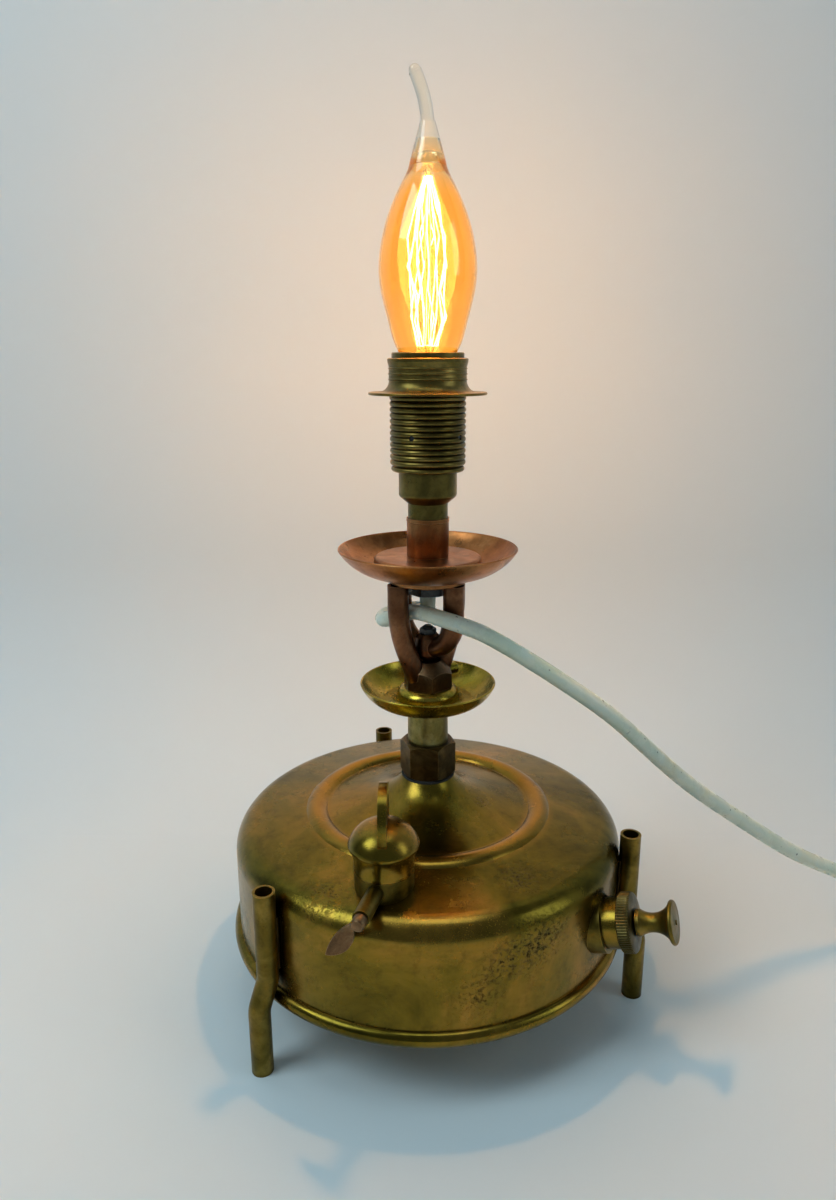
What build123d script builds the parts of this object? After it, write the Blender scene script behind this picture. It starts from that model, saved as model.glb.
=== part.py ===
from build123d import *
from math import asin, cos, degrees, pi, radians, sin, tan
import os

# A brass pressure paraffin stove made into a table lamp. A tank on three tube legs carries a riser,
# a spirit cup and a four-tube burner. The flame dish on the burner carries an E14 lampholder with a
# flame-tip bulb, and the white lead comes out under the burner head, goes once round the back left
# burner tube and off to the right, to a coil and a plug.
# Frame: millimetres, +Z up, +X right and +Y back as the lamp stands; the origin is on the floor, on
# the lamp's axis.

os.makedirs("parts", exist_ok=True)

# ---------------------------------------------------------------- driving dimensions
FIT = 0.05  # radial clearance of pieces that screw, turn or slide in one another
SEAT = 0.02  # radial gap of soldered and pressed pieces

SHEET = 0.8  # thickness of the brass sheet
WALL_R = 77.5  # tank
BEAD_R, BEAD_LOW, BEAD_TOP = 80.0, 24.6, 30.4
SHOULDER_R, SHOULDER_Z, SHOULDER_SWEEP = 9.0, 62.5, 80.7
RIDGE_OUT_R, RIDGE_R, RIDGE_IN_R = 49.3, 45.1, 40.9
RIDGE_FOOT_Z, RIDGE_Z = 75.0, 77.0
DOME_FOOT_R, DOME_FLAT_R, DOME_Z = 40.0, 10.4, 88.1
BELLY_Z = 17.5  # lowest point of the bulged base
SPIGOT_R, SPIGOT_BORE_R = 7.0, 3.5

LEG_R, LEG_BORE_R = 4.0, 3.1
LEG_TOP_Z, LEG_TOP_AT, LEG_FOOT_AT = 71.9, 81.55, 86.0  # distances of the leg's axis from the lamp's
LEG_TURNS = (225.6, 345.6, 105.6)

FILLER_X, FILLER_Y, FILLER_R = -15.2, -55.5, 10.5
VENT_TURN, VENT_Z, VENT_R = 255.1, 76.0, 3.0

PUMP_AT, PUMP_TURN, PUMP_TILT = (64.3, -43.2, 48.8), -22.3, 15.0
BARREL_R, BARREL_BORE_R, BARREL_DEEP = 9.25, 8.4, 62.0
ROD_R, KNOB_R, CAP_R = 2.0, 7.8, 10.75
CAP_FACE, KNOB_END = 12.9, 27.35  # along the pump's axis, from the tank's wall

NUT_R, NUT_TURN, NUT_LOW, NUT_HIGH = 11.2, 51.5, 88.9, 103.0  # union nut under the riser
RISER_R, RISER_TOP = 8.0, 125.2
CUP_R, CUP_RIM_Z, CUP_FLOOR_Z, BOSS_R = 26.5, 127.8, 119.4, 11.4
BASE_R, BASE_TURN, BASE_LOW, BASE_HIGH = 10.0, 40.0, 125.95, 133.0  # burner's hexagon foot

BURNER_TUBE_R, BURNER_TUBE_BORE_R = 4.0, 3.0
HEAD_LOW, HEAD_R = 168.5, 15.2
TUBE_TOPS = {"front_left": (-11.2, -6.8), "back_right": (10.6, 6.8)}
U_FRONT, U_BACK, U_LOW = (9.7, -7.8), (-10.3, 7.8), 142.0

DISH_LOW, DISH_RIM_Z, DISH_R, DISH_FLOOR_R = 171.0, 181.6, 34.0, 15.3
DISC_R, DISC_TOP = 20.5, 178.3
PIPE_R, PIPE_BORE_R, PIPE_LOW, PIPE_TOP = 5.0, 3.6, 163.0, 201.5
SPACER_R, SPACER_TOP = 7.9, 193.0

SKIRT_R, SKIRT_ROOT_R, SKIRT_LOW, PITCH = 13.9, 13.1, 210.3, 2.09  # lampholder's threaded skirt
RING_R, RING_Z, RING_LIP_R, RING_TOP = 21.5, 238.2, 14.6, 250.4  # shade ring
COLLAR_TOP = 252.3
BULB_LOW = 222.0  # the bulb's centre contact
CORD_R = 3.05


def keep(piece, name):
    """Label a finished piece and write its STEP file."""
    piece.part.label = name
    export_step(piece.part, f"parts/{name}.step")


def turned(*corners, plane=Plane.XZ, axis=Axis.Z):
    """A lathe-turned piece: the closed outline of corners, as radius and height, spun about its axis."""
    with BuildPart() as piece:
        with BuildSketch(plane):
            with BuildLine():
                Polyline(*corners, close=True)
            make_face()
        revolve(axis=axis)
    return piece


def along(route, bend, outer, inner=0.0):
    """A round rod, or a tube, along straight runs joined by arcs."""
    with BuildPart() as piece:
        with BuildLine() as path:
            FilletPolyline(*route, radius=bend)
        with BuildSketch(Plane(origin=path.line @ 0, z_dir=path.line % 0)):
            Circle(outer)
            if inner:
                Circle(inner, mode=Mode.SUBTRACT)
        sweep(path=path.line)
    return piece


def hexagon(corner_r, turn, low, high, *ends):
    """A hexagon bar with its six corners turned off to the outline of ends, as radius and height."""
    with BuildPart() as piece:
        with BuildSketch(Plane.XY.offset(low)):
            RegularPolygon(radius=corner_r, side_count=6, rotation=turn)
        extrude(amount=high - low)
        with BuildSketch(Plane.XZ):
            with BuildLine():
                Polyline((0, low), *ends, (0, high), close=True)
            make_face()
        revolve(axis=Axis.Z, mode=Mode.INTERSECT)
    return piece


def turned_off(corner_r, low, high, in_by, up_by):
    """The outline that turns off the corners of a hexagon bar alike at both ends."""
    below = ((corner_r - in_by, low), (corner_r, low + up_by))
    above = ((corner_r, high - up_by), (corner_r - in_by, high))
    return (*below, *above)


# ---------------------------------------------------------------- tank
def tank_solid(inset):
    """The tank's body, filled, drawn in by inset from the outer skin; its open bottom is flat."""
    bottom = BEAD_LOW - (2.0 if inset else 0.0)
    down = 0.95 * inset  # the sloping top moves down and in
    side = 0.5 * inset
    with BuildPart() as piece:
        with BuildSketch(Plane.XZ):
            with BuildLine():
                Line((0, bottom), (WALL_R - inset, bottom))
                if inset:
                    Line((WALL_R - inset, bottom), (WALL_R - inset, BEAD_LOW))
                ThreePointArc(
                    (WALL_R - inset, BEAD_LOW),
                    (BEAD_R - inset, (BEAD_LOW + BEAD_TOP) / 2),
                    (WALL_R - inset, BEAD_TOP),
                )
                Line((WALL_R - inset, BEAD_TOP), (WALL_R - inset, SHOULDER_Z))
                shoulder = CenterArc(
                    (WALL_R - SHOULDER_R, SHOULDER_Z), SHOULDER_R - inset, 0, SHOULDER_SWEEP
                )
                Line(shoulder @ 1, (RIDGE_OUT_R - side, RIDGE_FOOT_Z - down))
                ThreePointArc(
                    (RIDGE_OUT_R - side, RIDGE_FOOT_Z - down),
                    (RIDGE_R - side, RIDGE_Z - down),
                    (RIDGE_IN_R - side, RIDGE_FOOT_Z - down),
                )
                Line((RIDGE_IN_R - side, RIDGE_FOOT_Z - down), (DOME_FOOT_R - side, RIDGE_FOOT_Z - down))
                Spline(
                    (DOME_FOOT_R - side, RIDGE_FOOT_Z - down),
                    (30.0 - side, 77.2 - down),
                    (20.0 - side, 80.4 - down),
                    (13.8 - side, 84.2 - down),
                    (DOME_FLAT_R - side, DOME_Z - down),
                )
                Line((DOME_FLAT_R - side, DOME_Z - down), (0, DOME_Z - down))
                Line((0, DOME_Z - down), (0, bottom))
            make_face()
        revolve(axis=Axis.Z)
    return piece


pump_out = Vector(
    cos(radians(PUMP_TURN)) * cos(radians(PUMP_TILT)),
    sin(radians(PUMP_TURN)) * cos(radians(PUMP_TILT)),
    sin(radians(PUMP_TILT)),
)
pump_axis = Axis(PUMP_AT, pump_out)
pump_face = Plane(origin=PUMP_AT, z_dir=pump_out)  # across the pump, its normal along the rod
pump_half = Plane(origin=PUMP_AT, x_dir=pump_face.x_dir, z_dir=pump_face.x_dir.cross(pump_out))
vent_out = Vector(cos(radians(VENT_TURN)), sin(radians(VENT_TURN)), 0)
vent_from = Vector(FILLER_X, FILLER_Y, VENT_Z)
vent_axis = Axis(vent_from, vent_out)
vent_side = vent_out.cross(Vector(0, 0, 1))
vent_half = Plane(origin=vent_from, x_dir=vent_side, z_dir=vent_side.cross(vent_out))

tank_outside = tank_solid(0.0)
tank_inside = tank_solid(SHEET)
with BuildPart() as tank_shell:
    add(tank_outside.part)
    add(tank_inside.part, mode=Mode.SUBTRACT)
    with Locations((0, 0, DOME_Z)):
        Cylinder(SPIGOT_R + SEAT, 8.0, mode=Mode.SUBTRACT)
    with Locations((FILLER_X, FILLER_Y, RIDGE_FOOT_Z)):
        Cylinder(FILLER_R + SEAT, 16.0, mode=Mode.SUBTRACT)
    with BuildSketch(pump_face):
        Circle(BARREL_R + SEAT)
    extrude(amount=14.0, both=True, mode=Mode.SUBTRACT)
keep(tank_shell, "tank_shell")

rim_r = WALL_R - SHEET - SEAT
belly_r = 390.0  # radius of the bulge, whose centre is on the lamp's axis
belly_edge_r = 74.4
belly_sweep = degrees(asin(belly_edge_r / belly_r))
belly_edge_z = BELLY_Z + belly_r * (1 - cos(radians(belly_sweep)))
with BuildPart() as tank_base:
    with BuildSketch(Plane.XZ):
        with BuildLine():
            outside = CenterArc((0, BELLY_Z + belly_r), belly_r, 270, belly_sweep)
            Polyline(
                outside @ 1,
                (rim_r, belly_edge_z + 1.2),
                (rim_r, BEAD_TOP + 3.0),
                (rim_r - SHEET, BEAD_TOP + 3.0),
                (rim_r - SHEET, belly_edge_z + 2.0),
                (belly_edge_r, belly_edge_z + SHEET),
            )
            inside = CenterArc((0, BELLY_Z + belly_r + SHEET), belly_r, 270, belly_sweep)
            Line(inside @ 0, outside @ 0)
        make_face()
    revolve(axis=Axis.Z)
keep(tank_base, "tank_base")

spigot_top = 94.6
tank_spigot = turned(
    (SPIGOT_BORE_R, 86.0),
    (9.0, 86.0),
    (9.0, DOME_Z - SHEET - 0.02),
    (SPIGOT_R, DOME_Z - SHEET - 0.02),
    (SPIGOT_R, spigot_top - 0.6),
    (SPIGOT_R - 0.6, spigot_top),
    (SPIGOT_BORE_R, spigot_top),
)
keep(tank_spigot, "tank_spigot")

nut_washer = turned(
    (SPIGOT_R + FIT, DOME_Z), (10.6, DOME_Z), (10.6, NUT_LOW), (SPIGOT_R + FIT, NUT_LOW)
)
keep(nut_washer, "nut_washer")

union_washer = turned((SPIGOT_BORE_R, spigot_top), (6.5, spigot_top), (6.5, 95.2), (SPIGOT_BORE_R, 95.2))
keep(union_washer, "union_washer")

nut_ends = turned_off(NUT_R, NUT_LOW, NUT_HIGH, 1.5, 1.1)
nut_bar = hexagon(NUT_R, NUT_TURN, NUT_LOW, NUT_HIGH, *nut_ends)
with BuildPart() as riser_nut:
    add(nut_bar.part)
    with Locations((0, 0, NUT_LOW)):
        Cylinder(SPIGOT_R + FIT, 2 * 7.6, mode=Mode.SUBTRACT)
        Cylinder(6.15, 80.0, mode=Mode.SUBTRACT)
keep(riser_nut, "riser_nut")

riser_tube = turned(
    (SPIGOT_BORE_R, 95.2),
    (6.9, 95.2),
    (6.9, 96.4),
    (6.1, 96.4),
    (6.1, NUT_HIGH),
    (RISER_R, NUT_HIGH),
    (RISER_R, RISER_TOP),
    (6.0, RISER_TOP),
    (6.0, 131.0),
    (SPIGOT_BORE_R, 131.0),
)
keep(riser_tube, "riser_tube")

# ---------------------------------------------------------------- legs
leg_route = ((LEG_TOP_AT, LEG_TOP_Z), (LEG_TOP_AT, 36.5), (LEG_FOOT_AT, 26.0), (LEG_FOOT_AT, 0.0))
for number, turn in enumerate(LEG_TURNS, start=1):
    reach = Vector(cos(radians(turn)), sin(radians(turn)), 0)
    leg = along([reach * r + Vector(0, 0, z) for r, z in leg_route], 9.0, LEG_R, LEG_BORE_R)
    keep(leg, f"leg_{number}")

# ---------------------------------------------------------------- filler and vent
neck_low, neck_shoulder, neck_top = 68.5, 79.5, 87.4
with BuildPart() as filler_neck:
    with Locations((FILLER_X, FILLER_Y, neck_low)):
        Cylinder(FILLER_R, neck_shoulder - neck_low, align=(Align.CENTER, Align.CENTER, Align.MIN))
        Cylinder(9.3, neck_top - neck_low, align=(Align.CENTER, Align.CENTER, Align.MIN))
        Cylinder(7.9, 60.0, mode=Mode.SUBTRACT)
    with BuildSketch(Plane(origin=vent_from + vent_out * 6.0, z_dir=vent_out)):
        Circle(1.9)
    extrude(amount=10.0, mode=Mode.SUBTRACT)
keep(filler_neck, "filler_neck")

cap_low, cap_waist_z, cap_wide_z, cap_top = 79.9, 83.2, 89.4, 97.0
cap_wide_r = 12.45
filler_half = Plane(origin=(FILLER_X, FILLER_Y, 0), x_dir=(1, 0, 0), z_dir=(0, -1, 0))
filler_axis = Axis((FILLER_X, FILLER_Y, 0), (0, 0, 1))
wing_low, wing_mid_z, wing_r = 90.8, 99.1, 12.1
wing_plane = Plane(origin=(FILLER_X, FILLER_Y, wing_mid_z), x_dir=(0, 1, 0), z_dir=(1, 0, 0))
with BuildPart() as filler_wing:  # the cap's upright thumb plate, a disc cut off flat in the cap
    with BuildSketch(wing_plane):
        Circle(wing_r)
        with Locations((0, wing_low - wing_mid_z)):
            Rectangle(3 * wing_r, 10.0, align=(Align.CENTER, Align.MAX), mode=Mode.SUBTRACT)
    extrude(amount=1.5, both=True)
keep(filler_wing, "filler_wing")

with BuildPart() as filler_cap:
    with BuildSketch(filler_half):
        with BuildLine():
            Polyline((9.35, cap_low), (10.7, cap_low), (10.7, cap_low + 0.9))
            ThreePointArc((10.7, cap_low + 0.9), (10.6, cap_waist_z), (11.6, cap_wide_z - 2.0))
            ThreePointArc((11.6, cap_wide_z - 2.0), (12.2, cap_wide_z - 1.1), (cap_wide_r, cap_wide_z))
            ThreePointArc((cap_wide_r, cap_wide_z), (9.3, 94.5), (0, cap_top))
            Polyline((0, cap_top), (0, 89.2), (9.35, 89.2), (9.35, cap_low))
        make_face()
    revolve(axis=filler_axis)
    add(filler_wing.part, mode=Mode.SUBTRACT)
keep(filler_cap, "filler_cap")

with BuildPart() as filler_washer:
    with Locations((FILLER_X, FILLER_Y, neck_top + 0.02)):
        Cylinder(9.25, 1.7, align=(Align.CENTER, Align.CENTER, Align.MIN))
keep(filler_washer, "filler_washer")

vent_end = 24.8
vent_outline = ((1.85, 8), (VENT_R, 8), (VENT_R, vent_end), (1.85, vent_end))
vent_bar = turned(*vent_outline, plane=vent_half, axis=vent_axis)
with BuildPart() as vent_tube:
    add(vent_bar.part)
    with Locations((FILLER_X, FILLER_Y, VENT_Z)):
        Cylinder(FILLER_R + SEAT, 20.0, mode=Mode.SUBTRACT)
keep(vent_tube, "vent_tube")

hub_low, leaf_thick = 25.1, 1.2
leaf_tip = Vector(-11.6, -13.6)  # the thumb leaf's end, sideways and down from the screw's axis
leaf_middle, leaf_side = leaf_tip * 0.5, Vector(-leaf_tip.Y, leaf_tip.X).normalized() * -1
leaf_from = vent_from + vent_out * (hub_low + 1.4)
leaf_face = Plane(origin=leaf_from, x_dir=Vector(-vent_out.Y, vent_out.X, 0), z_dir=vent_out)
with BuildPart() as vent_screw:
    with BuildSketch(vent_half):
        with BuildLine():
            Polyline(
                (0, 11.5),
                (1.75, 13.0),
                (1.75, hub_low),
                (2.4, hub_low),
                (2.4, hub_low + 3.2),
                (1.8, hub_low + 3.8),
                (0, hub_low + 3.8),
                close=True,
            )
        make_face()
    revolve(axis=vent_axis)
    with BuildSketch(leaf_face):
        with BuildLine():
            ThreePointArc((1.6, 1.6), leaf_middle + leaf_side * 2.6, leaf_tip)
            ThreePointArc(leaf_tip, leaf_middle - leaf_side * 3.6, (-1.6, -1.6))
            Line((-1.6, -1.6), (1.6, 1.6))
        make_face()
    extrude(amount=leaf_thick)
keep(vent_screw, "vent_screw")

# ---------------------------------------------------------------- pump
with BuildPart() as pump_collar:
    with BuildSketch(pump_face.offset(-9.0)):
        Circle(10.8)
        Circle(BARREL_R + SEAT, mode=Mode.SUBTRACT)
    extrude(amount=11.2)
    add(tank_outside.part, mode=Mode.SUBTRACT)
keep(pump_collar, "pump_collar")

pump_barrel = turned(
    (BARREL_BORE_R, 11.2),
    (8.7, 11.2),
    (8.7, 7.9),
    (BARREL_R, 7.9),
    (BARREL_R, -BARREL_DEEP),
    (2.7, -BARREL_DEEP),
    (2.7, 1.6 - BARREL_DEEP),
    (BARREL_BORE_R, 1.6 - BARREL_DEEP),
    plane=pump_half,
    axis=pump_axis,
)
keep(pump_barrel, "pump_barrel")

pump_cap = turned(
    (8.75, 7.95),
    (CAP_R - 0.3, 7.95),
    (CAP_R, 8.3),
    (CAP_R, CAP_FACE - 0.9),
    (CAP_R - 0.8, CAP_FACE - 0.25),
    (6.6, CAP_FACE),
    (ROD_R + FIT, CAP_FACE),
    (ROD_R + FIT, 11.3),
    (8.75, 11.3),
    plane=pump_half,
    axis=pump_axis,
)
keep(pump_cap, "pump_cap")

with BuildPart() as pump_knob:
    with BuildSketch(pump_half):
        with BuildLine():
            Polyline(
                (ROD_R, CAP_FACE + 0.05),
                (4.3, CAP_FACE + 0.05),
                (4.8, CAP_FACE + 0.6),
                (4.8, CAP_FACE + 1.8),
            )
            Spline(
                (4.8, CAP_FACE + 1.8),
                (3.5, CAP_FACE + 5.0),
                (3.9, CAP_FACE + 9.0),
                (7.2, CAP_FACE + 12.6),
            )
            ThreePointArc((7.2, CAP_FACE + 12.6), (KNOB_R, KNOB_END - 1.1), (7.2, KNOB_END - 0.25))
            Polyline((7.2, KNOB_END - 0.25), (0.9, KNOB_END), (0.9, KNOB_END + 0.35), (0, KNOB_END + 0.35))
            Polyline(
                (0, KNOB_END + 0.35), (0, CAP_FACE + 6.0), (ROD_R, CAP_FACE + 6.0), (ROD_R, CAP_FACE + 0.05)
            )
        make_face()
    revolve(axis=pump_axis)
keep(pump_knob, "pump_knob")

rod_end = -56.0
pump_rod = turned(
    (0, rod_end),
    (ROD_R - 0.6, rod_end),
    (ROD_R - 0.6, rod_end + 4.65),
    (6.6, rod_end + 4.65),
    (6.6, rod_end + 5.95),
    (ROD_R, rod_end + 5.95),
    (ROD_R, CAP_FACE + 5.95),
    (0, CAP_FACE + 5.95),
    plane=pump_half,
    axis=pump_axis,
)
keep(pump_rod, "pump_rod")

pump_leather = turned(
    (ROD_R - 0.55, rod_end + 2.4),
    (6.4, rod_end + 2.4),
    (7.4, rod_end + 0.2),
    (8.35, rod_end + 0.2),
    (8.35, rod_end + 4.6),
    (ROD_R - 0.55, rod_end + 4.6),
    plane=pump_half,
    axis=pump_axis,
)
keep(pump_leather, "pump_leather")

with BuildPart() as pump_nut:
    with BuildSketch(pump_face.offset(rod_end + 0.3)):
        RegularPolygon(radius=3.4, side_count=6)
        Circle(ROD_R - 0.55, mode=Mode.SUBTRACT)
    extrude(amount=1.9)
keep(pump_nut, "pump_nut")

valve_body = turned(
    (0.9, 1.5 - BARREL_DEEP),
    (2.65, 1.5 - BARREL_DEEP),
    (2.65, -BARREL_DEEP - 0.05),
    (4.2, -BARREL_DEEP - 0.05),
    (4.2, -BARREL_DEEP - 9.0),
    (1.2, -BARREL_DEEP - 9.0),
    (1.2, -BARREL_DEEP - 8.4),
    (2.9, -BARREL_DEEP - 8.4),
    (2.9, -BARREL_DEEP - 1.4),
    (0.9, -BARREL_DEEP - 1.4),
    plane=pump_half,
    axis=pump_axis,
)
keep(valve_body, "valve_body")

valve_pip = turned(
    (0, -BARREL_DEEP - 1.45),
    (2.6, -BARREL_DEEP - 1.45),
    (2.6, -BARREL_DEEP - 2.9),
    (1.0, -BARREL_DEEP - 2.9),
    (1.0, -BARREL_DEEP - 4.6),
    (0, -BARREL_DEEP - 4.6),
    plane=pump_half,
    axis=pump_axis,
)
keep(valve_pip, "valve_pip")

spring_foot = Vector(PUMP_AT) - pump_out * (BARREL_DEEP + 8.1)
with BuildPart() as valve_spring:
    with BuildLine() as coil_line:
        Helix(pitch=0.9, height=3.6, radius=1.9, center=spring_foot, direction=pump_out)
    with BuildSketch(Plane(origin=coil_line.line @ 0, z_dir=coil_line.line % 0)):
        Circle(0.25)
    sweep(path=coil_line.line)
keep(valve_spring, "valve_spring")

# ---------------------------------------------------------------- spirit cup and burner
with BuildPart() as spirit_cup:
    boss_top = BASE_LOW - 0.05
    with BuildSketch(Plane.XZ):
        with BuildLine():
            Polyline((6.1, RISER_TOP + 0.02), (6.1, boss_top), (9.6, boss_top))
            ThreePointArc((9.6, boss_top), (11.3, 124.9), (12.3, 122.4))
            ThreePointArc((12.3, 122.4), (13.3, 120.7), (15.2, CUP_FLOOR_Z + 0.8))
            Line((15.2, CUP_FLOOR_Z + 0.8), (18.0, CUP_FLOOR_Z + 0.8))
            ThreePointArc((18.0, CUP_FLOOR_Z + 0.8), (21.6, 122.4), (CUP_R - 0.75, CUP_RIM_Z - 0.3))
            ThreePointArc(
                (CUP_R - 0.75, CUP_RIM_Z - 0.3), (CUP_R - 0.2, CUP_RIM_Z), (CUP_R, CUP_RIM_Z - 0.6)
            )
            ThreePointArc((CUP_R, CUP_RIM_Z - 0.6), (22.3, 121.7), (18.2, CUP_FLOOR_Z))
            Line((18.2, CUP_FLOOR_Z), (14.9, CUP_FLOOR_Z))
            ThreePointArc((14.9, CUP_FLOOR_Z), (12.6, 120.2), (11.5, 122.2))
            ThreePointArc((11.5, 122.2), (10.6, 124.3), (9.4, RISER_TOP + 0.02))
            Line((9.4, RISER_TOP + 0.02), (6.1, RISER_TOP + 0.02))
        make_face()
    revolve(axis=Axis.Z)
keep(spirit_cup, "spirit_cup")

riser_routes = {}
for side, (x, y) in TUBE_TOPS.items():
    sign = 1 if x > 0 else -1
    riser_routes[side] = ((x, y, HEAD_LOW), (x, y, 151.0), (sign * 4.4, sign * 3.7, 130.5))
u_route = ((*U_FRONT, HEAD_LOW), (*U_FRONT, U_LOW), (*U_BACK, U_LOW), (*U_BACK, HEAD_LOW))
RISER_BEND, U_BEND = 55.0, 12.0

with BuildPart() as tube_room:  # the space that the four burner tubes take
    for route in riser_routes.values():
        add(along(route, RISER_BEND, BURNER_TUBE_R + 0.01).part)
    add(along(u_route, U_BEND, BURNER_TUBE_R + 0.01).part)

base_top = 137.0
base_bar = hexagon(
    BASE_R,
    BASE_TURN,
    BASE_LOW,
    base_top,
    (BASE_R - 0.4, BASE_LOW),
    (BASE_R, BASE_LOW + 0.5),
    (BASE_R, BASE_HIGH - 1.2),
    (5.2, base_top - 0.4),
)
with BuildPart() as burner_base:
    add(base_bar.part)
    with Locations((0, 0, BASE_LOW)):
        Cylinder(6.05, 2 * 5.2, mode=Mode.SUBTRACT)
    add(tube_room.part, mode=Mode.SUBTRACT)
keep(burner_base, "burner_base")

for side, route in riser_routes.items():
    whole_tube = along(route, RISER_BEND, BURNER_TUBE_R, BURNER_TUBE_BORE_R)
    with BuildPart() as rising_tube:
        add(whole_tube.part)
        with Locations((0, 0, BASE_LOW)):
            Cylinder(6.05, 2 * 5.2, mode=Mode.SUBTRACT)
    keep(rising_tube, f"burner_tube_{side}")

burner_u_tube = along(u_route, U_BEND, BURNER_TUBE_R, BURNER_TUBE_BORE_R)
keep(burner_u_tube, "burner_u_tube")

block_low, block_top = 137.1, 147.6
with BuildPart() as jet_block:
    with BuildSketch(Plane.XZ):
        with BuildLine():
            Polyline((0, block_low), (3.4, block_low), (5.0, block_low + 2.2), (5.4, block_low + 5.0))
            Polyline((5.4, block_low + 5.0), (4.8, block_top - 1.4), (3.6, block_top), (0, block_top))
            Line((0, block_top), (0, block_low))
        make_face()
    revolve(axis=Axis.Z)
    add(tube_room.part, mode=Mode.SUBTRACT)
keep(jet_block, "jet_block")

nipple_low, nipple_high = block_top + 0.02, block_top + 2.0
nipple_ends = turned_off(3.3, nipple_low, nipple_high, 0.3, 0.25)
nipple_bar = hexagon(3.3, 10.0, nipple_low, nipple_high, *nipple_ends)
with BuildPart() as jet_nipple:
    add(nipple_bar.part)
    with BuildSketch(Plane.XZ):
        with BuildLine():
            Polyline(
                (0, block_top + 1.0),
                (2.4, block_top + 1.0),
                (2.1, block_top + 2.6),
                (1.3, block_top + 3.2),
                (0, block_top + 3.2),
                close=True,
            )
        make_face()
    revolve(axis=Axis.Z)
    with Locations((0, 0, block_top)):
        Cylinder(0.4, 20.0, mode=Mode.SUBTRACT)
keep(jet_nipple, "jet_nipple")

stub_turn, stub_z, stub_r = 40.0, 130.2, 2.35
stub_out = Vector(cos(radians(stub_turn)), sin(radians(stub_turn)), 0)
with BuildPart() as base_plug:
    with BuildSketch(Plane(origin=stub_out * 7.5 + Vector(0, 0, stub_z), z_dir=stub_out)):
        Circle(stub_r)
    extrude(amount=7.0)
    chamfer(base_plug.edges().filter_by(GeomType.CIRCLE).sort_by(Axis((0, 0, 0), stub_out))[-1], 0.4)
    add(base_bar.part, mode=Mode.SUBTRACT)
    add(tube_room.part, mode=Mode.SUBTRACT)
keep(base_plug, "base_plug")

with BuildPart() as burner_head:
    with BuildSketch(Plane.XZ):
        with BuildLine():
            Polyline(
                (PIPE_R + FIT, HEAD_LOW + 0.02),
                (HEAD_R - 0.4, HEAD_LOW + 0.02),
                (HEAD_R, HEAD_LOW + 0.4),
                (HEAD_R, DISH_LOW - 0.02),
                (12.0, DISH_LOW - 0.02),
                (12.0, DISC_TOP - 1.05),
                (PIPE_R + FIT, DISC_TOP - 1.05),
                close=True,
            )
        make_face()
    revolve(axis=Axis.Z)
keep(burner_head, "burner_head")

with BuildPart() as flame_dish:
    with BuildSketch(Plane.XZ):
        with BuildLine():
            Polyline((12.05, DISH_LOW + SHEET), (12.05, DISH_LOW), (DISH_FLOOR_R, DISH_LOW))
            ThreePointArc((DISH_FLOOR_R, DISH_LOW), (27.2, 174.3), (DISH_R, DISH_RIM_Z - 0.5))
            ThreePointArc(
                (DISH_R, DISH_RIM_Z - 0.5), (DISH_R - 0.3, DISH_RIM_Z), (DISH_R - 0.9, DISH_RIM_Z - 0.4)
            )
            ThreePointArc((DISH_R - 0.9, DISH_RIM_Z - 0.4), (26.7, 175.0), (DISH_FLOOR_R, DISH_LOW + SHEET))
            Line((DISH_FLOOR_R, DISH_LOW + SHEET), (12.05, DISH_LOW + SHEET))
        make_face()
    revolve(axis=Axis.Z)
keep(flame_dish, "flame_dish")

with BuildPart() as dish_disc:
    with BuildSketch(Plane.XZ):
        with BuildLine():
            Polyline((PIPE_R + FIT, DISC_TOP - 1.0), (PIPE_R + FIT, DISC_TOP), (DISC_R - 1.6, DISC_TOP))
            ThreePointArc(
                (DISC_R - 1.6, DISC_TOP), (DISC_R - 0.47, DISC_TOP - 0.47), (DISC_R, DISC_TOP - 1.6)
            )
            Polyline(
                (DISC_R, DISC_TOP - 1.6),
                (DISC_R, 173.3),
                (DISC_R - 1.0, 173.3),
                (DISC_R - 1.0, DISC_TOP - 1.0),
                (PIPE_R + FIT, DISC_TOP - 1.0),
            )
        make_face()
    revolve(axis=Axis.Z)
keep(dish_disc, "dish_disc")

# ---------------------------------------------------------------- lamp pipe and lampholder
lamp_pipe = turned((PIPE_BORE_R, PIPE_LOW), (PIPE_R, PIPE_LOW), (PIPE_R, PIPE_TOP), (PIPE_BORE_R, PIPE_TOP))
keep(lamp_pipe, "lamp_pipe")

locknut_low = PIPE_LOW + 0.6
locknut_bar = hexagon(7.8, 12.0, locknut_low, HEAD_LOW, *turned_off(7.8, locknut_low, HEAD_LOW, 0.5, 0.4))
with BuildPart() as pipe_nut:
    add(locknut_bar.part)
    with Locations((0, 0, HEAD_LOW)):
        Cylinder(PIPE_R + FIT, 30.0, mode=Mode.SUBTRACT)
keep(pipe_nut, "pipe_nut")

spacer_tube = turned(
    (6.9, DISC_TOP + 0.02),
    (SPACER_R, DISC_TOP + 0.02),
    (SPACER_R, SPACER_TOP - 1.7),
    (SPACER_R - 0.15, SPACER_TOP - 1.6),
    (SPACER_R - 0.15, SPACER_TOP - 1.4),
    (SPACER_R + 0.15, SPACER_TOP - 1.3),
    (SPACER_R + 0.15, SPACER_TOP - 0.02),
    (PIPE_R + FIT, SPACER_TOP - 0.02),
    (PIPE_R + FIT, SPACER_TOP - 1.2),
    (6.9, SPACER_TOP - 1.2),
)
keep(spacer_tube, "spacer_tube")

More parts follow.
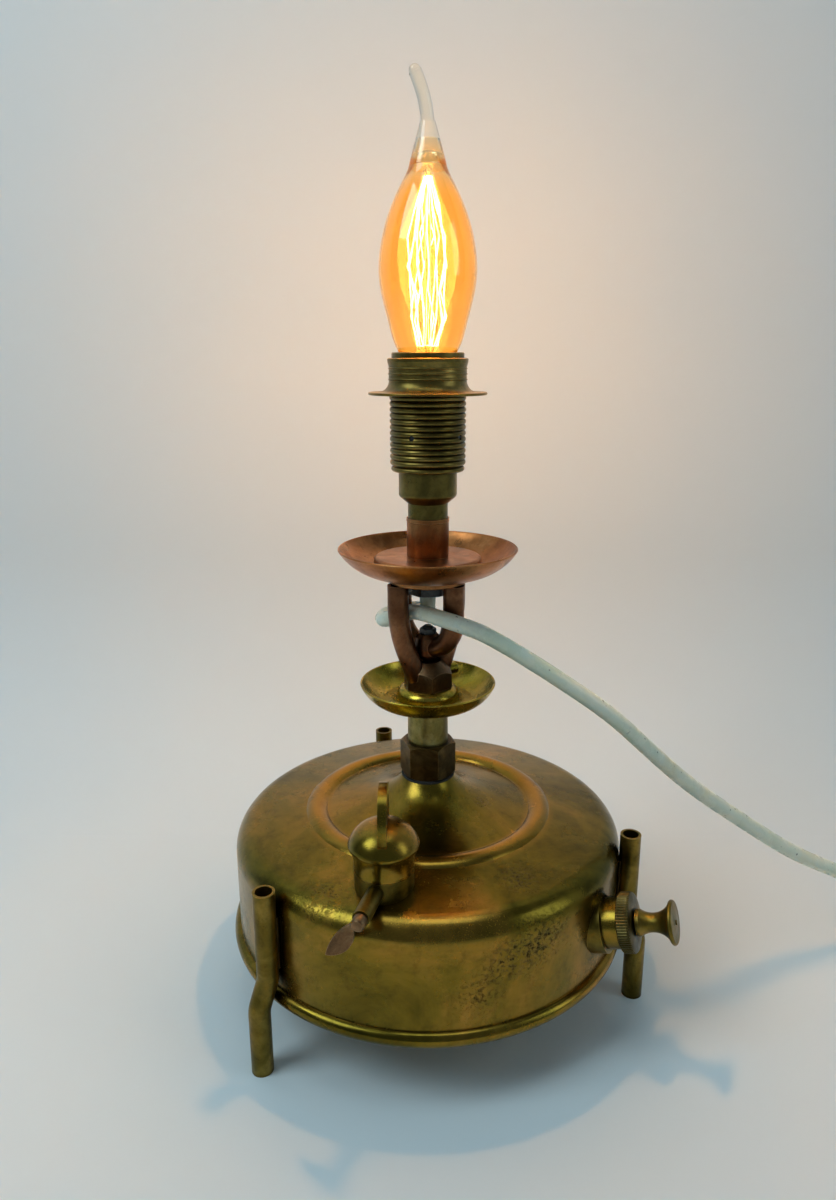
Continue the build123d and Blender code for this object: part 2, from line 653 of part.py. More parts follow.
neck_r, holder_cup_r = 7.45, 10.8
with BuildPart() as holder_cup:
    with BuildSketch(Plane.XZ):
        with BuildLine():
            Polyline((PIPE_R + FIT, SPACER_TOP), (neck_r, SPACER_TOP), (neck_r, 198.4), (10.1, 200.6))
            ThreePointArc((10.1, 200.6), (10.65, 201.3), (holder_cup_r, 202.4))
            Polyline(
                (holder_cup_r, 202.4),
                (holder_cup_r, 212.6),
                (holder_cup_r - 0.8, 212.6),
                (holder_cup_r - 0.8, 202.6),
                (6.6, 199.3),
                (PIPE_R + FIT, 199.3),
                (PIPE_R + FIT, SPACER_TOP),
            )
        make_face()
    revolve(axis=Axis.Z)
keep(holder_cup, "holder_cup")

ridge_count = 12
pip_z, pip_r, pip_turns = 223.0, 1.0, (-115.0, -32.0)
with BuildPart() as holder_skirt:
    with BuildSketch(Plane.XZ):
        with BuildLine():
            low = SKIRT_LOW + 2.3
            Polyline((holder_cup_r + SEAT, SKIRT_LOW), (12.6, SKIRT_LOW))
            ThreePointArc((12.6, SKIRT_LOW), (13.5, SKIRT_LOW + 0.9), (12.7, SKIRT_LOW + 1.9))
            Line((12.7, SKIRT_LOW + 1.9), (SKIRT_ROOT_R, low))
            for _ in range(ridge_count):
                ThreePointArc((SKIRT_ROOT_R, low), (SKIRT_R, low + PITCH / 2), (SKIRT_ROOT_R, low + PITCH))
                low = low + PITCH
            Polyline(
                (SKIRT_ROOT_R, low),
                (12.9, low + 0.3),
                (12.9, RING_TOP - 0.6),
                (12.3, RING_TOP - 0.6),
                (12.3, SKIRT_LOW + 1.1),
                (holder_cup_r + SEAT, SKIRT_LOW + 1.1),
                (holder_cup_r + SEAT, SKIRT_LOW),
            )
        make_face()
    revolve(axis=Axis.Z)
    for turn in pip_turns:
        pip_out = Vector(cos(radians(turn)), sin(radians(turn)), 0)
        with BuildSketch(Plane(origin=Vector(0, 0, pip_z), z_dir=pip_out)):
            Circle(pip_r)
        extrude(amount=20.0, mode=Mode.SUBTRACT)
keep(holder_skirt, "holder_skirt")

with BuildPart() as shade_ring:
    with BuildSketch(Plane.XZ):
        with BuildLine():
            bore = 12.9 + 0.08
            Polyline(
                (bore, RING_TOP - 0.3),
                (RING_LIP_R - 0.5, RING_TOP),
                (RING_LIP_R, RING_TOP - 0.3),
                (RING_LIP_R - 0.1, RING_TOP - 1.4),
                (14.1, 247.6),
            )
            for z in (246.8, 244.9, 243.0):
                Line((14.1, z + 0.8 if z < 246 else 247.6), (14.0, z + 0.35))
                ThreePointArc((14.0, z + 0.35), (14.3, z), (14.0, z - 0.35))
                Line((14.0, z - 0.35), (14.1, z - 1.1))
            ThreePointArc((14.1, 241.9), (15.2, 239.8), (17.8, RING_Z + 0.4))
            Line((17.8, RING_Z + 0.4), (20.9, RING_Z + 0.4))
            ThreePointArc((20.9, RING_Z + 0.4), (RING_R, RING_Z - 0.1), (20.9, RING_Z - 0.6))
            Line((20.9, RING_Z - 0.6), (20.9, RING_Z - 0.4))
            Line((20.9, RING_Z - 0.4), (17.6, RING_Z - 0.4))
            ThreePointArc((17.6, RING_Z - 0.4), (14.4, 239.3), (bore, 241.6))
            Line((bore, 241.6), (bore, RING_TOP - 0.3))
        make_face()
    revolve(axis=Axis.Z)
keep(shade_ring, "shade_ring")

insert_low, insert_r, well_low, well_r = 213.0, 12.2, 222.9, 7.75
insert_body = turned(
    (7.0, insert_low),
    (9.9, insert_low),
    (9.9, insert_low + 1.5),
    (insert_r, insert_low + 1.5),
    (insert_r, RING_TOP - 0.65),
    (11.6, RING_TOP - 0.65),
    (11.6, 244.5),
    (well_r, 243.5),
    (well_r, well_low),
    (2.4, well_low),
    (2.4, 221.4),
    (1.75, 221.4),
    (1.75, 220.02),
    (7.0, 220.02),
)
with BuildPart() as holder_insert:  # with the two pips that show in the skirt's holes
    add(insert_body.part)
    for turn in pip_turns:
        pip_out = Vector(cos(radians(turn)), sin(radians(turn)), 0)
        with BuildSketch(Plane(origin=Vector(0, 0, pip_z) + pip_out * (insert_r - 1.0), z_dir=pip_out)):
            Circle(pip_r - 0.1)
        extrude(amount=2.1)
keep(holder_insert, "holder_insert")

holder_collar = turned(
    (11.7, RING_TOP - 0.55),
    (12.9, RING_TOP - 0.55),
    (12.9, RING_TOP + 0.05),
    (13.05, RING_TOP + 0.05),
    (13.05, COLLAR_TOP - 0.3),
    (12.75, COLLAR_TOP),
    (11.7, COLLAR_TOP),
)
keep(holder_collar, "holder_collar")

socket_shell = turned((7.3, 228.0), (well_r - 0.02, 228.0), (well_r - 0.02, 242.5), (7.3, 242.5))
keep(socket_shell, "socket_shell")

centre_contact = turned(
    (0, 219.4),
    (2.5, 219.4),
    (2.5, 220.0),
    (1.6, 220.0),
    (1.6, BULB_LOW - 0.15),
    (1.2, BULB_LOW - 0.02),
    (0, BULB_LOW - 0.02),
)
keep(centre_contact, "centre_contact")

terminal_x, terminal_z = 5.4, 212.0
with BuildPart() as terminals:  # two bars under the insert, each with a slotted screw from below
    for x in (-terminal_x, terminal_x):
        with BuildSketch(Plane(origin=(x, 0, terminal_z))):
            Rectangle(4.4, 6.0)
        extrude(amount=0.95)
        with BuildSketch(Plane(origin=(x, 0, terminal_z - 2.4))):
            Circle(1.5)
        extrude(amount=2.4)
        with BuildSketch(Plane(origin=(x, 0, terminal_z - 2.4))):
            Rectangle(3.2, 0.5)
        extrude(amount=0.7, mode=Mode.SUBTRACT)
keep(terminals, "terminals")

# ---------------------------------------------------------------- bulb
GLASS = 0.6
glass_outline = (
    (6.55, 244.6),
    (6.9, 247.2),
    (8.6, 250.0),
    (10.5, 252.5),
    (13.9, 262.0),
    (17.15, 278.0),
    (16.4, 288.0),
    (12.2, 301.4),
    (9.0, 307.7),
    (6.0, 314.0),
    (3.9, 320.0),
    (2.6, 326.4),
)
glass_inside = [(r - GLASS, z) for r, z in reversed(glass_outline[1:9])]
with BuildPart() as bulb_glass:
    with BuildSketch(Plane.XZ):
        with BuildLine():
            Polyline((5.6, 240.0), (6.55, 240.0), glass_outline[0])
            Spline(*glass_outline, tangents=((0, 1), (-0.3, 1)))
            Polyline(glass_outline[-1], (0, glass_outline[-1][1]), (0, 317.2), (3.6, 316.2))
            Spline((3.6, 316.2), *glass_inside, (5.6, 244.6), tangents=((0.45, -1), (0, -1)))
            Line((5.6, 244.6), (5.6, 240.0))
        make_face()
    revolve(axis=Axis.Z)
    with BuildLine() as tail:
        ThreePointArc((0, 0, 325.0), (-1.25, 0, 333.5), (-4.3, 0, 341.5))
    with BuildSketch(Plane(origin=tail.line @ 0, z_dir=tail.line % 0)):
        Circle(2.2)
    sweep(path=tail.line)
    with Locations((-4.3, 0, 341.7)):
        Sphere(2.0)
keep(bulb_glass, "bulb_glass")

thread_pitch, thread_turns = 2.82, 5  # the cap's rolled thread, as rings
with BuildPart() as bulb_cap:
    with BuildSketch(Plane.XZ):
        with BuildLine():
            Polyline((6.2, 227.0), (6.6, 227.0), (6.6, 228.0))
            for turn in range(thread_turns):
                low = 228.0 + turn * thread_pitch
                ThreePointArc((6.6, low), (7.0, low + thread_pitch / 2), (6.6, low + thread_pitch))
            thread_top = 228.0 + thread_turns * thread_pitch
            Polyline(
                (6.6, thread_top),
                (7.0, thread_top + 0.5),
                (7.0, 245.6),
                (6.6, 245.6),
                (6.6, 243.2),
                (6.2, 242.2),
                (6.2, 227.0),
            )
        make_face()
    revolve(axis=Axis.Z)
    add(bulb_glass.part, mode=Mode.SUBTRACT)
keep(bulb_cap, "bulb_cap")

bulb_insulator = turned(
    (2.05, 223.4), (3.2, 223.4), (6.5, 226.95), (6.15, 227.0), (6.15, 228.2), (2.05, 226.4)
)
keep(bulb_insulator, "bulb_insulator")

bulb_contact = turned((0, BULB_LOW), (1.3, BULB_LOW), (2.0, 222.8), (2.0, 224.6), (0, 224.6))
keep(bulb_contact, "bulb_contact")

bulb_stem = turned(
    (0, 243.0),
    (5.5, 243.0),
    (5.2, 245.6),
    (2.6, 248.4),
    (1.5, 252.0),
    (1.1, 256.0),
    (1.1, 311.5),
    (1.9, 313.0),
    (1.4, 314.8),
    (0, 315.2),
)
keep(bulb_stem, "bulb_stem")

filament_runs, cage_low_r, cage_high_r = 9, 7.4, 4.8
corners = []
for run in range(filament_runs):
    turn = radians(15.0 + 330.0 * run / (filament_runs - 1))
    low_end = (cage_low_r * cos(turn), cage_low_r * sin(turn), 256.0)
    high_end = (cage_high_r * cos(turn), cage_high_r * sin(turn), 309.5)
    corners += [low_end, high_end] if run % 2 == 0 else [high_end, low_end]
wire = along(corners, 0.3, 0.25)
with BuildPart() as bulb_filament:  # the zig-zag wire and its two stouter lead-in wires
    add(wire.part)
    for side in (-1, 1):
        add(along(((side * 3.0, 0, 248.2), (side * 3.1, 0, 250.2), (side * 6.2, 0, 254.2)), 1.0, 0.3).part)
    add(bulb_stem.part, mode=Mode.SUBTRACT)
keep(bulb_filament, "bulb_filament")

# ---------------------------------------------------------------- lead
# Its route, from inside the lamp pipe: round the back left tube, in by the left gap, out by the front.
cord_route = [
    (0, 0, 166.0),
    (0, 0, 159.8),
    (-0.3, 4.8, 155.6),
    (-1.8, 11.0, 154.0),
    (-6.3, 14.7, 153.2),
    (-12.4, 15.5, 152.2),
    (-17.2, 11.8, 151.3),
    (-18.2, 5.8, 151.2),
    (-14.6, 0.9, 153.0),
    (-7.4, 0.2, 156.0),
    (-3.2, -4.4, 157.2),
    (0.6, -10.2, 157.8),
    (5.7, -14.7, 157.4),
    (12.4, -16.2, 155.6),
    (21.1, -16.7, 152.3),
    (33.5, -17.2, 145.0),
    (50.2, -17.0, 134.0),
    (70.6, -14.5, 118.9),
    (88.0, -9.8, 101.2),
    (106.0, -4.0, 83.9),
    (129.8, 1.0, 65.9),
    (154.0, 5.0, 48.5),
    (176.3, 9.0, 37.0),
    (196.0, 13.5, 26.5),
    (214.0, 18.0, 18.4),
    (229.5, 22.3, 12.6),
    (243.0, 25.8, 9.4),
]
coil_centre, coil_out_r, coil_in_r, coil_top = (253.2, -12.2), 45.7, 21.2, 12.3
tail_route = [(295.1, -19.3, 3.1), (297.0, -30.3, 3.9), (301.0, -41.6, 6.9), (305.0, -53.0, 6.9)]


def corner_radii(route):
    """The largest radius for each corner of a route: 0.45 of its shorter run, over tan of half the turn."""
    radii = []
    for before, here, after in zip(route, route[1:], route[2:]):
        arrive, leave = Vector(here) - Vector(before), Vector(after) - Vector(here)
        half_turn = radians(arrive.get_angle(leave)) / 2
        radii.append(0.45 * min(arrive.length, leave.length) / tan(half_turn))
    return radii


def lead(route, name):
    """A stretch of the lead along its route, checked by its volume."""
    radii = corner_radii(route)
    piece = along(route, radii, CORD_R)
    length = piece.part.volume / (pi * CORD_R**2)
    print(name, "length", round(length, 1), "radii", [round(r, 1) for r in radii])
    return piece


cord_tube = lead(cord_route, "cord_tube")
keep(cord_tube, "cord_tube")

cord_tail = lead(tail_route, "cord_tail")
keep(cord_tail, "cord_tail")

coil_ring = turned(
    (coil_in_r, 0),
    (coil_out_r, 0),
    (coil_out_r, 5.4),
    (coil_out_r - 3.4, coil_top),
    (coil_in_r + 3.4, coil_top),
    (coil_in_r, 5.4),
)
with BuildPart() as cord_coil:  # two layers of turns, grooved where the lead meets them
    with Locations((*coil_centre, 0)):
        add(coil_ring.part)
    add(cord_tube.part, mode=Mode.SUBTRACT)
    add(cord_tail.part, mode=Mode.SUBTRACT)
keep(cord_coil, "cord_coil")

sheath_top = 200.5
with BuildPart() as inner_cord:  # the lead inside the lamp pipe, and its two cores up to the terminals
    with Locations((0, 0, cord_route[0][2] + 0.02)):
        Cylinder(CORD_R, sheath_top - cord_route[0][2], align=(Align.CENTER, Align.CENTER, Align.MIN))
    for side in (-1, 1):
        core_route = ((1.5, sheath_top), (1.5, 204.0), (5.0, 206.2), (5.4, 209.4))
        core = along([(side * x, 0, z) for x, z in core_route], 1.2, 0.9)
        add(core.part)
keep(inner_cord, "inner_cord")

# ---------------------------------------------------------------- plug
plug_from, plug_to = Vector(tail_route[-1]), Vector(tail_route[-1]) - Vector(tail_route[-2])
plug_out = Vector(plug_to.X, plug_to.Y, 0).normalized()
plug_back = Plane(origin=plug_from, x_dir=plug_out.cross(Vector(0, 0, 1)), z_dir=plug_out)
PLUG_W, PLUG_H, PIN_R, PIN_L, PIN_GAP = 35.3, 13.7, 2.0, 19.0, 18.6


def plug_outline(wide, high):
    """The corners of the plug's six-sided section."""
    flat = wide / 2 - high * 0.35
    upper = [(wide / 2, 0), (flat, high / 2), (-flat, high / 2)]
    return upper + [(-x, -y) for x, y in upper]


with BuildPart() as plug_body:  # moulded with its strain relief
    with BuildSketch(plug_back.offset(0.02)):
        Circle(3.9)
    with BuildSketch(plug_back.offset(14.0)):
        Circle(5.0)
    loft()
    with BuildSketch(plug_back.offset(14.0)):
        Polygon(*plug_outline(17.0, 11.0), align=None)
    with BuildSketch(plug_back.offset(28.0)):
        Polygon(*plug_outline(PLUG_W, PLUG_H), align=None)
    loft()
    with BuildSketch(plug_back.offset(28.0)):
        Polygon(*plug_outline(PLUG_W, PLUG_H), align=None)
    extrude(amount=16.0)
keep(plug_body, "plug_body")

with BuildPart() as plug_pins:
    for x in (-PIN_GAP / 2, PIN_GAP / 2):
        centre = plug_back.offset(44.02).from_local_coords(Vector(x, 0, 0))
        with BuildSketch(Plane(origin=centre, z_dir=plug_out)):
            Circle(PIN_R)
        extrude(amount=PIN_L)
keep(plug_pins, "plug_pins")
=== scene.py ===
import math
import random

import bpy
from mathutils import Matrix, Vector


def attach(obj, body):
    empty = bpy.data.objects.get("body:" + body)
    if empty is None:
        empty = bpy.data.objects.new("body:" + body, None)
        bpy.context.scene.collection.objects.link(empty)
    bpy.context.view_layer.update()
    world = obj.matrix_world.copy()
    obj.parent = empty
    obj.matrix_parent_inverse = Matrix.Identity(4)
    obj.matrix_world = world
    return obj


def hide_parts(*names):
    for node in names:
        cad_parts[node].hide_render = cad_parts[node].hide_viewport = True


# The looks of a brass paraffin stove made into a table lamp. Metres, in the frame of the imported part:
# +Z up, +X to the side where the lead runs off, +Y to the back, origin on the floor on the lamp's axis.

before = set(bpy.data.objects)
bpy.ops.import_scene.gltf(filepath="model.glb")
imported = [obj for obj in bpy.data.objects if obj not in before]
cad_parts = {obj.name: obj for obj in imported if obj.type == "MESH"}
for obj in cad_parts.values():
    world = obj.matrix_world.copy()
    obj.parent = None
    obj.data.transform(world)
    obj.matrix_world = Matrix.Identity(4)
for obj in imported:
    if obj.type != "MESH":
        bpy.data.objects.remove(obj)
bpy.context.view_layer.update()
scene = bpy.context.scene
scene.view_settings.view_transform = "Standard"
MM = 0.001

# ---------------------------------------------------------------- camera
CAMERA_BACK, CAMERA_UP, CAMERA_DIP = 0.3215, 0.2489, 15.33  # metres and degrees below level
camera = bpy.data.objects.new("camera", bpy.data.cameras.new("camera"))
scene.collection.objects.link(camera)
camera.location = (0, -CAMERA_BACK, CAMERA_UP)
camera.rotation_euler = (math.radians(90 - CAMERA_DIP), 0, 0)
camera.data.lens = 26.01
camera.data.sensor_width = 36.0
camera.data.shift_x = -0.0082
camera.data.clip_start = 0.01
scene.camera = camera

# ---------------------------------------------------------------- the lead
CORD_D = 6.1
# Round the back left burner tube, in by the left gap, out by the front, and off to the right.
cord_route = [
    (0, 0, 166.0),
    (0, 0, 159.8),
    (-0.3, 4.8, 155.6),
    (-1.8, 11.0, 154.0),
    (-6.3, 14.7, 153.2),
    (-12.4, 15.5, 152.2),
    (-17.2, 11.8, 151.3),
    (-18.2, 5.8, 151.2),
    (-14.6, 0.9, 153.0),
    (-7.4, 0.2, 156.0),
    (-3.2, -4.4, 157.2),
    (0.6, -10.2, 157.8),
    (5.7, -14.7, 157.4),
    (12.4, -16.2, 155.6),
    (21.1, -16.7, 152.3),
    (33.5, -17.2, 145.0),
    (50.2, -17.0, 134.0),
    (70.6, -14.5, 118.9),
    (88.0, -9.8, 101.2),
    (106.0, -4.0, 83.9),
    (129.8, 1.0, 65.9),
    (154.0, 5.0, 48.5),
    (176.3, 9.0, 37.0),
    (196.0, 13.5, 26.5),
    (214.0, 18.0, 18.4),
    (229.5, 22.3, 12.6),
    (243.0, 25.8, 9.4),
]
tail_route = [(295.1, -19.3, 3.1), (297.0, -30.3, 3.9), (301.0, -41.6, 6.9), (305.0, -53.0, 6.9)]
COIL_X, COIL_Y = 253.2, -12.2
COIL_OUT_R, COIL_IN_R, TAIL_R = 39.5, 24.25, 42.55  # of the turns' middles: top outer, inner, lower outer
COIL_FROM, COIL_TURNS, DROP_TURN, POINTS_PER_TURN = 105.0, 5.318, 2.5, 20
DROP_EARLY, DROP_LENGTH = 0.1, 0.3  # in turns: how soon before DROP_TURN the lead drops, and over how much
LAID_Z = 3.1  # height of the lead's middle where it lies on the floor


def coil_points():
    """The coil's turns, clockwise: inwards on the upper layer, down, and outwards on the floor."""
    low, high = LAID_Z, LAID_Z + CORD_D
    points = []
    steps = int(COIL_TURNS * POINTS_PER_TURN)
    for step in range(1, steps):
        turn = COIL_TURNS * step / steps
        if turn < DROP_TURN:
            r = COIL_OUT_R + (COIL_IN_R - COIL_OUT_R) * turn / DROP_TURN
        else:
            r = COIL_IN_R + (TAIL_R - COIL_IN_R) * (turn - DROP_TURN) / (COIL_TURNS - DROP_TURN)
        fall = min(1.0, max(0.0, (turn - DROP_TURN + DROP_EARLY) / DROP_LENGTH))
        z = high + (low - high) * fall * fall * (3 - 2 * fall)
        angle = math.radians(COIL_FROM - 360 * turn)
        points.append((COIL_X + r * math.cos(angle), COIL_Y + r * math.sin(angle), z))
    return points


def curve_piece(name, runs, radius, smooth=True):
    """A curve object of round section through runs of points in millimetres."""
    data = bpy.data.curves.new(name, "CURVE")
    data.dimensions = "3D"
    data.bevel_depth = 1.0
    data.bevel_resolution = 6
    data.use_fill_caps = True
    data.resolution_u = 8
    for points in runs:
        spline = data.splines.new("NURBS" if smooth else "POLY")
        spline.points.add(len(points) - 1)
        for point, where in zip(spline.points, points):
            point.co = (*(value * MM for value in where), 1)
            point.radius = radius * MM
        if smooth:
            spline.order_u = 3
            spline.use_endpoint_u = True
    piece = bpy.data.objects.new(name, data)
    scene.collection.objects.link(piece)
    return piece


cord = curve_piece("lead", [cord_route + coil_points() + tail_route], CORD_D / 2)
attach(cord, "stove")
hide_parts("cord_tube", "cord_coil", "cord_tail")


# ---------------------------------------------------------------- node helpers
class Shader:
    """A material whose nodes are added one after another."""

    def __init__(self, name):
        self.material = bpy.data.materials.new(name)
        self.material.use_nodes = True
        self.nodes = self.material.node_tree.nodes
        self.links = self.material.node_tree.links
        self.surface = self.nodes["Principled BSDF"]
        self.place = self.nodes.new("ShaderNodeTexCoord").outputs["Object"]

    def set(self, node, name, value):
        if isinstance(value, bpy.types.NodeSocket):
            self.links.new(value, node.inputs[name])
        else:
            node.inputs[name].default_value = value

    def noise(self, scale, detail=5.0, rough=0.6, distortion=0.0, stretch=None):
        """A noise whose scale is in waves per metre; stretch multiplies it along X, Y and Z."""
        node = self.nodes.new("ShaderNodeTexNoise")
        where = self.place
        if stretch:
            mapping = self.nodes.new("ShaderNodeMapping")
            mapping.inputs["Scale"].default_value = stretch
            self.links.new(self.place, mapping.inputs["Vector"])
            where = mapping.outputs["Vector"]
        self.links.new(where, node.inputs["Vector"])
        self.set(node, "Scale", scale)
        self.set(node, "Detail", detail)
        self.set(node, "Roughness", rough)
        self.set(node, "Distortion", distortion)
        return node.outputs["Fac"]

    def ramp(self, value, *stops):
        """Colours, or grey levels, at positions along a value."""
        node = self.nodes.new("ShaderNodeValToRGB")
        self.links.new(value, node.inputs["Fac"])
        elements = node.color_ramp.elements
        while len(elements) < len(stops):
            elements.new(0.5)
        for element, (position, colour) in zip(elements, stops):
            element.position = position
            element.color = (*colour, 1) if isinstance(colour, tuple) else (colour, colour, colour, 1)
        return node.outputs["Color"]

    def mix(self, amount, first, second):
        """Two colours mixed: the first at 0 and the second at 1."""
        node = self.nodes.new("ShaderNodeMix")
        node.data_type = "RGBA"
        self.set(node, 0, amount)
        for socket, value in ((6, first), (7, second)):
            self.set(node, socket, (*value, 1) if isinstance(value, tuple) else value)
        return node.outputs[2]

    def math(self, operation, first, second=0.0):
        """One operation on two values, its result kept between 0 and 1."""
        node = self.nodes.new("ShaderNodeMath")
        node.operation = operation
        node.use_clamp = True
        self.set(node, 0, first)
        self.set(node, 1, second)
        return node.outputs[0]

    def fade(self, distance, reach):
        """1 at a distance of 0, falling to 0 at reach millimetres."""
        node = self.nodes.new("ShaderNodeMapRange")
        self.links.new(distance, node.inputs["Value"])
        node.inputs["From Max"].default_value = reach * MM
        node.inputs["To Min"].default_value = 1.0
        node.inputs["To Max"].default_value = 0.0
        return node.outputs["Result"]

    def near(self, centre, reach):
        """1 at a point in millimetres, falling to 0 at reach millimetres from it."""
        apart = self.nodes.new("ShaderNodeVectorMath")
        apart.operation = "DISTANCE"
        self.links.new(self.place, apart.inputs[0])
        apart.inputs[1].default_value = tuple(value * MM for value in centre)
        return self.fade(apart.outputs["Value"], reach)

    def ring(self, radius, reach):
        """1 on a cylinder of radius millimetres round the lamp's axis, falling to 0 at reach from it."""
        flat = self.nodes.new("ShaderNodeVectorMath")
        flat.operation = "MULTIPLY"
        self.links.new(self.place, flat.inputs[0])
        flat.inputs[1].default_value = (1, 1, 0)
        length = self.nodes.new("ShaderNodeVectorMath")
        length.operation = "LENGTH"
        self.links.new(flat.outputs["Vector"], length.inputs[0])
        apart = self.nodes.new("ShaderNodeMath")
        apart.operation = "SUBTRACT"
        self.links.new(length.outputs["Value"], apart.inputs[0])
        apart.inputs[1].default_value = radius * MM
        away = self.nodes.new("ShaderNodeMath")
        away.operation = "ABSOLUTE"
        self.links.new(apart.outputs[0], away.inputs[0])
        return self.fade(away.outputs[0], reach)

    def height(self, low, high):
        """0 at a height in millimetres, rising to 1 at another."""
        split = self.nodes.new("ShaderNodeSeparateXYZ")
        self.links.new(self.place, split.inputs["Vector"])
        node = self.nodes.new("ShaderNodeMapRange")
        self.links.new(split.outputs["Z"], node.inputs["Value"])
        node.inputs["From Min"].default_value = low * MM
        node.inputs["From Max"].default_value = high * MM
        return node.outputs["Result"]

    def shade_and_grime_in_corners(self, reach):
        """Painted shade and grime: 1 in corners and 0 in the open, by ambient occlusion."""
        node = self.nodes.new("ShaderNodeAmbientOcclusion")
        node.samples = 6
        node.inputs["Distance"].default_value = reach * MM
        return self.ramp(node.outputs["AO"], (0.35, 1.0), (0.85, 0.0))

    def edges(self, width):
        """1 on worn edges and 0 on faces."""
        bevel = self.nodes.new("ShaderNodeBevel")
        bevel.samples = 4
        bevel.inputs["Radius"].default_value = width * MM
        geometry = self.nodes.new("ShaderNodeNewGeometry")
        dot = self.nodes.new("ShaderNodeVectorMath")
        dot.operation = "DOT_PRODUCT"
        self.links.new(bevel.outputs["Normal"], dot.inputs[0])
        self.links.new(geometry.outputs["Normal"], dot.inputs[1])
        return self.ramp(dot.outputs["Value"], (0.86, 1.0), (0.985, 0.0))

    def bump(self, height, depth, strength=1.0, after=None):
        node = self.nodes.new("ShaderNodeBump")
        self.set(node, "Height", height)
        self.set(node, "Distance", depth * MM)
        self.set(node, "Strength", strength)
        if after:
            self.links.new(after, node.inputs["Normal"])
        return node.outputs["Normal"]


# ---------------------------------------------------------------- metals
# Colour of a painted reflection: the bulb's warm orange light on the tank's ridge, mixed into the metal's
# colour.
PAINTED_GLOW_TONE = (0.52, 0.24, 0.035)


def scaled(colour, factor):
    """A colour made darker or lighter, no channel over 1."""
    return tuple(min(1.0, value * factor) for value in colour)


def metal(
    name,
    dark,
    middle,
    light,
    grime_and_shade,
    *,
    patch,
    roughness=(0.28, 0.5),
    brushed=None,
    worn=0.6,
    pits=0.35,
    stains=(),
    painted_glow_rings=(),
):
    """Aged metal: three tones in clouds, grime and painted shade in its corners, worn edges, fine pits,
    stains, painted warm reflection bands.
    """
    m = Shader(name)
    clouds = m.noise(patch, detail=6, rough=0.62, distortion=0.6)
    tone = m.ramp(clouds, (0.36, dark), (0.5, middle), (0.66, light))
    mottle = m.noise(patch * 9, detail=5, rough=0.7)
    tone = m.mix(m.ramp(mottle, (0.5, 0.0), (0.75, 0.45)), tone, grime_and_shade)
    # Painted reflection: the bulb's warm light on a band round the lamp's axis, mixed into the colour in
    # patches.
    for radius, reach in painted_glow_rings:
        patches = m.ramp(m.noise(30, detail=4), (0.3, 0.35), (0.65, 1.0))
        tone = m.mix(m.math("MULTIPLY", m.ring(radius, reach), patches), tone, PAINTED_GLOW_TONE)
    specks = m.ramp(m.noise(1500, detail=3, rough=0.6), (0.62, 0.0), (0.7, 1.0))
    where = m.ramp(m.noise(patch * 2.2, detail=4), (0.5, 0.0), (0.66, 1.0))
    pitted = m.math("MULTIPLY", m.math("MULTIPLY", specks, where), pits)
    for centre, reach in stains:
        spots = m.ramp(m.noise(640, detail=8, rough=0.78, distortion=0.3), (0.5, 0.0), (0.6, 1.0))
        around = m.math("MULTIPLY", m.near(centre, reach), 0.85)
        pitted = m.math("ADD", pitted, m.math("MULTIPLY", spots, around))
    tone = m.mix(pitted, tone, scaled(grime_and_shade, 0.35))
    # Painted shade and grime: corners darkened towards the dark grime tone where ambient occlusion finds
    # them enclosed.
    tone = m.mix(m.math("MULTIPLY", m.shade_and_grime_in_corners(3.0), 0.75), tone, scaled(grime_and_shade, 0.5))
    tone = m.mix(m.math("MULTIPLY", m.edges(0.45), worn), tone, scaled(light, 1.35))
    m.set(m.surface, "Base Color", tone)
    m.set(m.surface, "Metallic", 1.0)
    rub = m.ramp(m.noise(patch * 3, detail=6, rough=0.65), (0.3, roughness[0]), (0.7, roughness[1]))
    m.set(m.surface, "Roughness", m.mix(pitted, rub, (0.75, 0.75, 0.75)))
    relief = m.bump(m.noise(180, detail=4), 0.05, 0.5)
    relief = m.bump(m.math("SUBTRACT", 1.0, pitted), 0.12, 0.6, after=relief)
    if brushed:
        scratches = m.noise(900, detail=4, rough=0.7, stretch=brushed)
        relief = m.bump(scratches, 0.04, 0.6, after=relief)
    m.set(m.surface, "Normal", relief)
    return m.material


UP_BRUSHED = (1, 1, 0.03)
TURNED = (0.04, 0.04, 1)
tank_stains = (  # middle and reach of each
    ((42, -65, 59), 11),
    ((34, -69, 57), 13),
    ((25, -73, 55), 10),
    ((17, -75, 43), 12),
    ((-36, -60, 70), 12),
    ((32, -52, 73), 10),
    ((22, -8, 79), 5),
    ((-30, 70, 50), 16),
)
tank_brass = metal(
    "tank_brass",
    (0.11, 0.078, 0.010),
    (0.22, 0.145, 0.018),
    (0.40, 0.21, 0.034),
    (0.05, 0.030, 0.007),
    roughness=(0.17, 0.33),
    patch=22,
    brushed=TURNED,
    stains=tank_stains,
    # The painted warm reflection of the bulb on the tank's ridge.
    painted_glow_rings=((45.1, 6.5),),
)
aged_brass = metal(
    "aged_brass",
    (0.09, 0.062, 0.010),
    (0.18, 0.120, 0.020),
    (0.32, 0.21, 0.045),
    (0.035, 0.022, 0.008),
    patch=45,
)
cup_brass = metal(
    "cup_brass",
    (0.24, 0.17, 0.015),
    (0.40, 0.28, 0.03),
    (0.56, 0.36, 0.06),
    (0.10, 0.06, 0.010),
    roughness=(0.18, 0.34),
    patch=40,
    brushed=TURNED,
)
riser_brass = metal(
    "riser_brass",
    (0.14, 0.10, 0.03),
    (0.28, 0.21, 0.06),
    (0.48, 0.38, 0.14),
    (0.06, 0.04, 0.015),
    patch=60,
    brushed=UP_BRUSHED,
)
